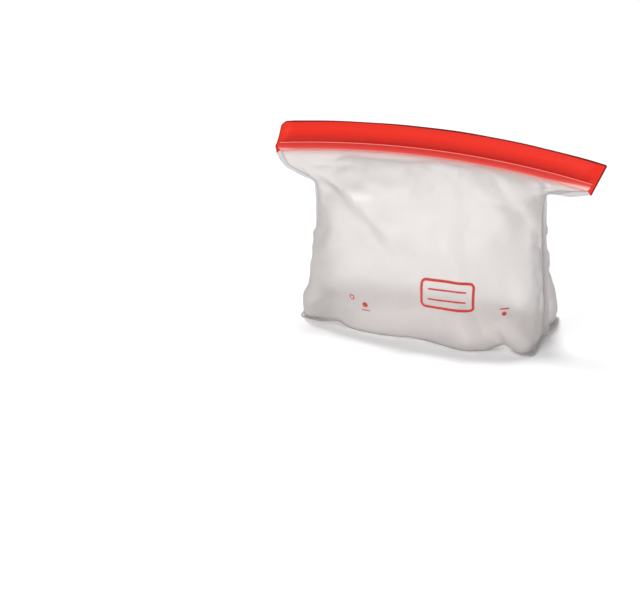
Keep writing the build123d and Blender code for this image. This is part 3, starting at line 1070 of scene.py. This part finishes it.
# --------------------------------------------------------------------------
# bottom gusset, a film folded up between the two base edges
# --------------------------------------------------------------------------
def build_gusset():
    columns, rows = 150, 44
    x = np.linspace(-79.4, 79.4, columns + 1)
    row = np.arange(rows + 1)[:, None]
    front, back = foot_line(FRONT, 400), foot_line(BACK, 400)
    front_y, front_z = (np.interp(x, front[:, 0], front[:, axis]) for axis in (1, 2))
    back_y, back_z = (np.interp(x, back[:, 0], back[:, axis]) for axis in (1, 2))
    q = row / rows
    y = front_y * (1 - q) + back_y * q
    inward = 1 - np.abs(y) / np.where(y < 0, -front_y, back_y)
    # the fold only rises towards the two corners
    fold = 0.02 + (NOTCH_Z - 1.3) * np.maximum(0, (np.abs(x) - 50.0) / 29.0) ** 1.5
    edge_lift = np.where(y < 0, front_z, back_z) - FOOT_Z
    z = (
        FOOT_Z
        + fold * np.clip(inward, 0, 1) ** 0.92
        + edge_lift * (1 - smooth(inward / 0.42))
    )
    points = np.stack(np.broadcast_arrays(x, y, z), -1)
    inner = smooth(np.minimum(row, rows - row) / 6.0)
    bumps = 0.5 + 0.7 * noise3(points, 30, 71) + 0.4 * noise3(points, 12, 72)
    points[..., 2] += inner * np.maximum(0, bumps) * 0.5
    points[..., 2] = np.maximum(points[..., 2], 0.24)
    verts, faces = shell_from_grid(points, FILM_THICK * 0.9)
    ob = make_object("gusset_film", verts, faces, 60, M_GUSSET)
    fix_to_bag(ob, "frosted_film", "bottom_gusset")


build_gusset()


# --------------------------------------------------------------------------
# base hems, where each film is fused to the gusset
# --------------------------------------------------------------------------
def build_weld(name, piece, verts, faces):
    verts[:, 2] = np.maximum(verts[:, 2], 0.03)
    ob = make_object(name, verts, faces, 50, M_WELD)
    fix_to_bag(ob, "film_weld", piece)


def build_hem(side, name, piece):
    path = foot_line(side, 300)
    run = np.gradient(path, axis=0)
    run[:, 2] = 0
    run = unit(run)
    out = np.stack([-run[:, 1], run[:, 0], np.zeros(len(run))], -1) * side
    raised = 0.22
    path = path + np.array([0, 0, raised])
    path[:, 2] = np.maximum(path[:, 2], FOOT_Z + raised)
    rings = []
    for point, outward in zip(path, out):
        x = point[0]
        width = 1.15 + 0.16 * sin(x / 5.1 + side) + 0.08 * sin(x / 1.9)
        end = min(1.0, (EAR_X - abs(x)) / 2.0)
        width *= sqrt(max(0.03, 1 - (1 - end) ** 2))
        profile = bar_profile(-0.2, width, 0.72)
        # the lip droops where the film lifts off the floor
        lift = point[2] - (FOOT_Z + raised)
        tip = unit(outward + np.array([0, 0, -min(0.5, lift * 0.22)]))
        rings.append(point + profile[:, :1] * tip + profile[:, 1:] * [0.0, 0.0, 1.0])
    build_weld(name, piece, *loft_rings(rings))


build_hem(FRONT, "front_base_hem", "front_base_seam")
build_hem(BACK, "back_base_hem", "back_base_seam")

# --------------------------------------------------------------------------
# side seams: a stem up to the zip and two legs down to the base corners
# --------------------------------------------------------------------------
FIN_WIDTH = 2.5         # what shows of the seam outside the film's edge
STEM_TOE = {LEFT: 103.3, RIGHT: 103.7}      # where the stem ends along the zip
STEM_WING = {LEFT: 0.35, RIGHT: 0.9}        # how far it turns down beside the strip


def seam_ring(point, profile, wave, out, flat):
    """Ring of a seam, waving sideways towards its outer edge."""
    bend = (np.clip(profile[:, 0] / SEAM_WIDTH, 0, 1) ** 1.6) * wave
    return point + profile[:, :1] * out + (profile[:, 1:] + bend[:, None]) * flat


def finer(values, times=4):
    n = len(values)
    return pchip(np.arange(n), values, np.linspace(0, n - 1, (n - 1) * times + 1))


def stem_width(end, z, at, below_zip):
    """Width of the stem, by its height, its length so far and its length still to go."""
    width = FIN_WIDTH + 0.12 * sin(at / 4.3 + end) + 0.06 * sin(at / 1.7)
    width += 1.2 * (1 - smooth((z - 8) / 30))
    if end == LEFT:
        return width + (1.2 * smooth((11 - below_zip) / 9) - 1.2 * bell(below_zip, 30, 6.0))
    return width + (0.9 * bell(below_zip, 9, 8.0) - 1.4 * bell(below_zip, 26, 5.0))


def seam_stem(end, front_edge, back_edge):
    body = slice(FOOT_ROWS, FOOT_ROWS + BODY_ROWS)
    edge = (front_edge[body] + back_edge[body]) / 2
    along_level = unit((BODY_LEVELS[:, 3:6] - BODY_LEVELS[:, 0:3]) * end)
    run = unit(np.gradient(edge, axis=0))
    # on the wing beside the strip the seam's outward side faces down
    wing = smooth((BODY_AT - LEVEL_AT[5]) / (LEVEL_AT[7] - LEVEL_AT[5]))[:, None]
    wing = wing * STEM_WING[end]
    away = along_level * (1 - wing) - ZIP_UP * wing
    out = unit(away - run * np.sum(away * run, axis=1, keepdims=True))
    flat = unit(np.cross(run, out))
    edge, out, flat = finer(edge), unit(finer(out)), unit(finer(flat))
    # it starts a little below the notch, between the two legs
    edge = np.concatenate([edge[:1] - np.array([[0.0, 0.0, 1.5]]), edge])
    body_length = run_length(edge)[-1]
    # the last bit runs on along the zip to its toe
    toe = STEM_TOE[end]
    s = np.linspace(MOUTH_HALF, toe, 9)[1:]
    drop = 0.5 * ((s - MOUTH_HALF) / (toe - MOUTH_HALF)) ** 2
    edge = np.concatenate([edge, zip_point(end * s, 0.0, MOUTH_UP - drop)])
    out, flat = (
        np.concatenate([v[:1], v, np.tile(v[-1], (len(s), 1))]) for v in (out, flat)
    )
    length = run_length(edge)
    rings = []
    for i, at in enumerate(length):
        u = at / length[-1]
        width = stem_width(end, edge[i, 2], at, body_length - at)
        if at > body_length:
            width *= 1 - 0.62 * ((at - body_length) / (length[-1] - body_length)) ** 1.6
        wave = 0.45 * sin(at / 9.0 + 0.7 * end) * sin(pi * min(1, u * 1.15))
        wave += 0.12 * sin(at / 3.7)
        profile = bar_profile(-0.35, width, 0.86 - 0.12 * u)
        # cross ribs pressed by the sealing bar
        profile[:, 1] *= 1 + 0.045 * sin(at * 2 * pi / 1.15)
        if i in (0, len(edge) - 1):
            profile = profile * [1, 0.6]
        rings.append(seam_ring(edge[i], profile, wave, out[i], flat[i]))
    return loft_rings(rings)


def seam_leg(end, side, edge):
    steps = 26
    at = np.linspace(FOOT_ROWS, 0, steps)
    rows = np.arange(FOOT_ROWS + 1)
    foot_edge = edge[: FOOT_ROWS + 1]
    path = np.stack([np.interp(at, rows, foot_edge[:, axis]) for axis in range(3)], -1)
    path[:, 2] += 0.45
    run = unit(path[-1] - path[0])
    sideways = np.array([end, 0, 0])
    out = unit(sideways - run * (sideways @ run))
    flat = unit(np.cross(run, out))
    rings = []
    for i in range(steps):
        q = i / (steps - 1)
        width = 2.6 - 1.7 * smooth(q / 0.7) + 0.06 * sin(i * 1.1)
        profile = bar_profile(-0.3, width, 0.80 + 0.035 * sin(i * 2.6))
        tip = min(1.0, (1 - q) * 28 / 1.6)
        profile = profile * [sqrt(max(0.06, 1 - (1 - tip) ** 2)), 1]
        rings.append(seam_ring(path[i], profile, 0.5 * sin(q * 9 + side), out, flat))
    return loft_rings(rings)


def build_side_seam(end, name, piece):
    column = 0 if end == LEFT else COLS
    front_edge, back_edge = GRIDS[FRONT][:, column], GRIDS[BACK][:, column]
    build_weld(name, piece, *joined([
        seam_stem(end, front_edge, back_edge),
        seam_leg(end, FRONT, front_edge),
        seam_leg(end, BACK, back_edge),
    ]))


build_side_seam(LEFT, "left_side_fin", "left_side_seam")
build_side_seam(RIGHT, "right_side_fin", "right_side_seam")

# --------------------------------------------------------------------------
# zip strips
# --------------------------------------------------------------------------
# Outer face of a strip from the flange up: height, thickness
STRIP_OUTER = np.array([
    (0.0, 0.26), (0.25, 0.46), (0.7, 0.60), (1.4, 0.68), (2.6, 0.70), (4.0, 0.70),
    (5.2, 0.70), (5.75, 0.70), (6.0, 0.73), (6.2, 0.84), (6.45, 1.05), (6.75, 1.32),
    (7.05, 1.60), (7.4, 1.84), (7.8, 2.00), (8.2, 2.10), (8.45, 2.19), (8.6, 2.20),
    (8.75, 2.12), (9.0, 2.08), (9.25, 2.10), (9.45, 2.18), (9.6, 2.19), (9.75, 2.12),
    (10.2, 2.13), (11.2, 2.15), (12.2, 2.13), (13.0, 2.06), (13.8, 1.94), (14.6, 1.78),
    (15.2, 1.66), (15.8, 1.55), (16.4, 1.45), (17.0, 1.36), (17.5, 1.30), (17.9, 1.26),
    (18.2, 1.22), (18.45, 1.16), (18.65, 1.06), (18.82, 0.90), (18.93, 0.72),
    (STRIP_HEIGHT, 0.50),
])
# Closing face from the top down: flat heights above the tracks, then each track's height
# with the flat heights below it
FLAT_TOP = (18.85, 18.4, 17.6, 16.8, 16.0, 15.2, 14.5)
TRACKS = [(12.9, (11.4, 10.7)), (8.9, (7.4, 6.6, 5.4, 4.0, 2.6, 1.4, 0.7, 0.2))]
# Upper half of a track, mirrored for the lower half: distance from the face, half width.
# The front strip has ribs with a wider head, the back strip channels with rounded lips.
TRACK_HALF = {
    FRONT: [
        (0.0, 0.62), (0.12, 0.50), (0.45, 0.42), (0.72, 0.50), (0.95, 0.54), (1.12, 0.42),
        (1.2, 0.18),
    ],
    BACK: [
        (0.0, 0.86), (0.10, 0.72), (0.42, 0.62), (0.80, 0.68), (1.12, 0.70), (1.32, 0.50),
        (1.36, 0.2),
    ],
}
# Distances of the stations near each end of the zip from that end
END_STATIONS = (
    0.0, 0.04, 0.12, 0.26, 0.45, 0.75, 1.2, 1.8, 2.6, 3.5, 4.5, 5.6, 6.8, 8.2, 9.8, 11.6,
)
# Painted shade along the gap over the top of the strip, from the sixth last outer point
TOP_DARK = (0.12, 0.45, 0.85, 1.0, 1.0, 1.0, 1.0, 1.0, 0.8)


def closing_face(side, depth):
    """Closing face from the top down: (offset away from the closing plane, height)."""
    half = TRACK_HALF[side]
    track = half + [(d, -width) for d, width in reversed(half)]
    points = [(0.0, up) for up in FLAT_TOP]
    for track_up, flat_below in TRACKS:
        points += [(side * d * depth, track_up + width) for d, width in track]
        points += [(0.0, up) for up in flat_below]
    return np.array(points)


def toe_drop(up, drop, from_end):
    """Heights with the flange running down along the film's corner by drop."""
    toe = drop * (1 - smooth(max(from_end, 0) / 3.4))
    return up - toe * np.clip(1 - up / 3.2, 0, 1)


def end_dark(from_end):
    """Painted shade round the very end of the zip."""
    return 0.9 * (1 - smooth((from_end - 0.1) / 0.8))


def build_strip(side, name, piece):
    left = [-ARC_HALF + e for e in END_STATIONS]
    right = [ARC_HALF - e for e in reversed(END_STATIONS)]
    stations = [*left, *np.linspace(left[-1], right[0], 92)[1:-1], *right]
    outer_up, thickness = STRIP_OUTER.T
    crushed = np.minimum(thickness, np.where(outer_up < 17, 1.02, 1.0))
    outer = len(STRIP_OUTER)
    rings, weights, thick, painted_rim_shade = [], [], [], []
    for s in stations:
        from_left, from_right = s + ARC_HALF, ARC_HALF - s
        e = min(from_left, from_right)
        full = smooth((e - 1.2) / 7.5)      # 0 where the end is crushed
        # the rounded rim at the very end
        rim = sqrt(max(0.0, 1 - (1 - min(1, e / 0.45)) ** 2)) * 0.94 + 0.06
        inner = closing_face(side, depth=smooth((e - 3.0) / 6.0))
        outer_out = (thickness * full + crushed * (1 - full)) * rim
        out = STRIP_GAP + np.concatenate([outer_out, inner[:, 0]])
        up = np.concatenate([outer_up, inner[:, 1]])
        up = toe_drop(up, 1.3 if from_left < from_right else 1.9, e)
        # a soft wobble of the outer face and of the free edge
        out[:outer] += 0.03 * sin(s / 8.0 + 1) * full * smooth((up[:outer] - 6.0) / 1.5)
        wobble = 0.10 * sin(s / 17.0 + side) + 0.06 * sin(s / 6.3)
        up = up + wobble * np.clip((up - 14) / 5, 0, 1) * full
        rings.append(zip_point(slanted(s, up, from_left, from_right), out * -side, up))
        weights.append(np.full(len(up), opening_share(s)))
        # painted shade of the groove under the band's overhang, just above the flange, weaker at the crushed
        # ends
        core = 0.78 * smooth((up - 5.5) / 0.5) * (1 - smooth((up - 7.4) / 5.2)) ** 1.2
        thick.append(core * (0.25 + 0.75 * full))
        # painted shade over the top of the strip and round its end
        dark = np.zeros(len(up))
        dark[outer - 6 : outer + 3] = TOP_DARK
        painted_rim_shade.append(np.maximum(dark, end_dark(e)))
    verts, faces = loft_rings(rings)
    ob = make_object(name, verts, faces, 32, M_RED)
    add_attribute(ob, "thick", np.concatenate(thick))
    add_attribute(ob, "painted_rim_shade", np.concatenate(painted_rim_shade))
    add_opening(ob, side, np.concatenate(weights))
    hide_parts(piece)


build_strip(FRONT, "front_zip_lip", "front_zip_strip")
build_strip(BACK, "back_zip_lip", "back_zip_strip")

# Section of a crushed end: heights, and how its thickness rounds off at the top
TOP_BELOW = np.array([1.1, 0.8, 0.5, 0.3, 0.16, 0.08])
TOP_ROUNDING = np.array([1, 0.98, 0.9, 0.75, 0.55, 0.3])
CORE_UP = np.concatenate([np.linspace(0.1, 17.6, 26), STRIP_HEIGHT - TOP_BELOW])
# Distances of its stations from the end of the strips; the last ones stand out beyond them
CORE_STATIONS = (5.0, 4.6, 3.8, 2.9, 2.0, 1.2, 0.6, 0.2, 0.0, -0.14, -0.22)


def build_zip_end(end, name, piece):
    """Crushed end of the zip, where both strips are fused into one flat block."""
    rings, painted_rim_shade = [], []
    for e in CORE_STATIONS:
        s = end * (ARC_HALF - e)
        half_thick = 0.72 * (smooth((5.3 - e) / 1.2) * 0.8 + 0.2)
        if e < 0.3:
            half_thick *= sqrt(max(0.02, 1 - ((0.3 - e) / 0.53) ** 2))
        up = toe_drop(CORE_UP, 1.2 if end == LEFT else 1.8, e)
        moved = slanted(s, up, max(s + ARC_HALF, 0), max(ARC_HALF - s, 0))
        out = np.full(len(up), half_thick)
        out[-6:] *= TOP_ROUNDING
        out[0] *= 0.5
        front, back = zip_point(moved, out, up), zip_point(moved, -out, up)
        rings.append(np.concatenate([front, back[::-1]]))
        # painted shade over the top of the crushed end and round it
        dark = np.maximum(np.where(CORE_UP > 18.6, 0.85, 0.0), end_dark(e))
        painted_rim_shade.append(np.concatenate([dark, dark[::-1]]))
    verts, faces = loft_rings(rings)
    ob = make_object(name, verts, faces, 45, M_RED_END)
    add_attribute(ob, "painted_rim_shade", np.concatenate(painted_rim_shade))
    fix_to_bag(ob, "red_silicone", piece)


build_zip_end(LEFT, "left_zip_end", "left_zip_end_weld")
build_zip_end(RIGHT, "right_zip_end", "right_zip_end_weld")

# --------------------------------------------------------------------------
# printed marks on the front film: a plain write-on box and a few small marks
# --------------------------------------------------------------------------
FRONT_TREE = BVHTree.FromObject(front_film, bpy.context.evaluated_depsgraph_get())


def on_film(x, z, lift):
    """Point on the front film at x, z, lifted along its normal."""
    start = Vector((x * MM, -0.2, z * MM))
    hit, normal, _, _ = FRONT_TREE.ray_cast(start, Vector((0, 1, 0)))
    if normal.y > 0:
        normal = -normal
    return (np.array(hit) + np.array(normal) * lift * MM) / MM


def decal(grid):
    """Closed thin patch on the film from a grid of (x, z) points."""
    grid = np.array(grid)
    rows, cols = grid.shape[:2]
    count = rows * cols
    verts = [on_film(x, z, lift) for lift in (0.035, -0.10) for x, z in grid.reshape(-1, 2)]
    index = np.arange(count).reshape(rows, cols)
    rims = [(index[0], True), (index[-1], False)]
    if np.allclose(grid[:, 0], grid[:, -1]):
        # a ring: its last column is its first
        index[:, -1] = index[:, 0]
    else:
        rims += [(index[:, 0], False), (index[:, -1], True)]
    faces = two_skins(index)
    for line, flip in rims:
        for a, b in zip(line[:-1], line[1:]):
            quad = (b, a, a + count, b + count)
            faces.append(quad if flip else quad[::-1])
    return verts, faces


def box_outline(x0, z0, x1, z1, radius, stroke):
    """Rounded frame as a closed grid of three rows."""
    corners = [
        (x1 - radius, z1 - radius, 0), (x0 + radius, z1 - radius, 90),
        (x0 + radius, z0 + radius, 180), (x1 - radius, z0 + radius, 270),
    ]
    outline = []        # x, z and outward direction
    for centre_x, centre_z, start in corners:
        for a in np.linspace(start, start + 90, 9):
            c, s = cos(radians(a)), sin(radians(a))
            outline.append((centre_x + radius * c, centre_z + radius * s, c, s))
    outline = np.array(outline)
    dense = []
    for here, there in zip(outline, np.roll(outline, -1, axis=0)):
        steps = max(1, int(hypot(there[0] - here[0], there[1] - here[1]) / 1.0))
        for i in range(steps):
            q = i / steps
            dense.append(here * (1 - q) + there * q)
    dense.append(dense[0])
    return [
        [(x - out_x * w, z - out_z * w) for x, z, out_x, out_z in dense]
        for w in np.linspace(0, stroke, 3)
    ]


def bar(x0, z0, x1, z1, stroke):
    """Straight stroke with slightly narrowed ends."""
    dx, dz = x1 - x0, z1 - z0
    length = hypot(dx, dz)
    n = max(4, int(length / 0.8))
    across_x, across_z = -dz / length, dx / length
    rows = []
    for offset in np.linspace(-stroke / 2, stroke / 2, 3):
        row = []
        for i in range(n + 1):
            w = offset * (0.6 if i in (0, n) else 1)
            row.append((x0 + dx * i / n + across_x * w, z0 + dz * i / n + across_z * w))
        rows.append(row)
    return rows


def disc(x, z, inner, outer, sides=28):
    """Disc or ring between two radii."""
    turns = [2 * pi * (k % sides) / sides for k in range(sides + 1)]
    return [
        [(x + r * cos(turn), z + r * sin(turn)) for turn in turns]
        for r in np.linspace(outer, inner, 4)
    ]


def build_print(name, grids):
    verts, faces = joined([decal(grid) for grid in grids])
    fix_to_bag(make_object(name, verts, faces, 40, M_INK), "red_silicone")


build_print("print_write_box", [
    box_outline(9.0, 27.6, 44.0, 47.0, radius=3.4, stroke=1.7),
    bar(14.2, 40.6, 38.8, 40.6, stroke=1.1),
    bar(14.2, 34.0, 38.8, 34.0, stroke=1.1),
])
build_print("print_small_marks", [
    disc(-38.5, 25.6, inner=1.15, outer=1.85),
    disc(-28.6, 22.6, inner=0.05, outer=1.9),
    bar(-31.6, 18.2, -25.6, 18.2, stroke=0.7),
    bar(59.4, 31.0, 64.6, 31.0, stroke=0.8),
    disc(62.0, 27.9, inner=0.05, outer=1.35),
])


# --------------------------------------------------------------------------
# floor, light and camera, in metres
# --------------------------------------------------------------------------
def build_floor(half_size, cells, z):
    axis = np.linspace(-half_size, half_size, cells + 1)
    verts = [(x, y, z) for y in axis for x in axis]
    index = np.arange(len(verts)).reshape(cells + 1, cells + 1)
    floor = plain_mesh("floor", verts, grid_quads(index))
    floor.data.materials.append(paper_material("floor_paper"))


def build_world(light, seen):
    """White surroundings, brighter as seen by the camera than as a light."""
    world = bpy.data.worlds.new("studio")
    bpy.context.scene.world = world
    world.use_nodes = True
    nodes, links = world.node_tree.nodes, world.node_tree.links
    backdrop = nodes["Background"]
    backdrop.inputs["Color"].default_value = grey(1.0)
    path = nodes.new("ShaderNodeLightPath")
    level = nodes.new("ShaderNodeMapRange")
    level.inputs["To Min"].default_value = light
    level.inputs["To Max"].default_value = seen
    links.new(path.outputs["Is Camera Ray"], level.inputs["Value"])
    links.new(level.outputs["Result"], backdrop.inputs["Strength"])


def add_sun(name, towards, strength, spread):
    """Even soft light from a direction."""
    data = bpy.data.lights.new(name, "SUN")
    data.energy = strength
    data.angle = radians(spread)
    data.color = (1, 1, 1)
    ob = add_object(name, data)
    ob.location = Vector(towards) * 1.5
    ob.rotation_mode = "QUATERNION"
    ob.rotation_quaternion = (-Vector(towards)).to_track_quat("-Z", "Y")


def add_camera(place, azimuth, down, roll, lens):
    """Camera looking along azimuth (from +y towards -x) and down; the lens is in mm."""
    ca, sa = cos(radians(azimuth)), sin(radians(azimuth))
    cd, sd = cos(radians(down)), sin(radians(down))
    forward = Vector((-sa * cd, ca * cd, -sd))
    right = Vector((ca, sa, 0))
    above = right.cross(forward)
    cr, sr = cos(radians(roll)), sin(radians(roll))
    right, above = right * cr + above * sr, above * cr - right * sr
    data = bpy.data.cameras.new("camera")
    data.sensor_width = 36.0
    data.lens = lens
    data.clip_start, data.clip_end = 0.05, 50
    camera = add_object("camera", data)
    camera.location = place
    camera.rotation_mode = "QUATERNION"
    turn = Matrix((right, above, -forward)).transposed()
    camera.rotation_quaternion = turn.to_quaternion()
    bpy.context.scene.camera = camera


build_floor(half_size=4.0, cells=24, z=-0.00005)
build_world(light=0.53, seen=1.0)
add_sun("key", towards=(-0.22, 0.30, 1.0), strength=1.78, spread=12)
add_sun("front", towards=(-0.75, -1.10, 0.70), strength=0.92, spread=40)
add_camera(
    place=(0.34359, -0.94376, 0.48002), azimuth=24.088, down=24.899, roll=-1.763,
    lens=94.786875,
)
bpy.context.scene.view_settings.view_transform = "Standard"

bpy.context.view_layer.update()
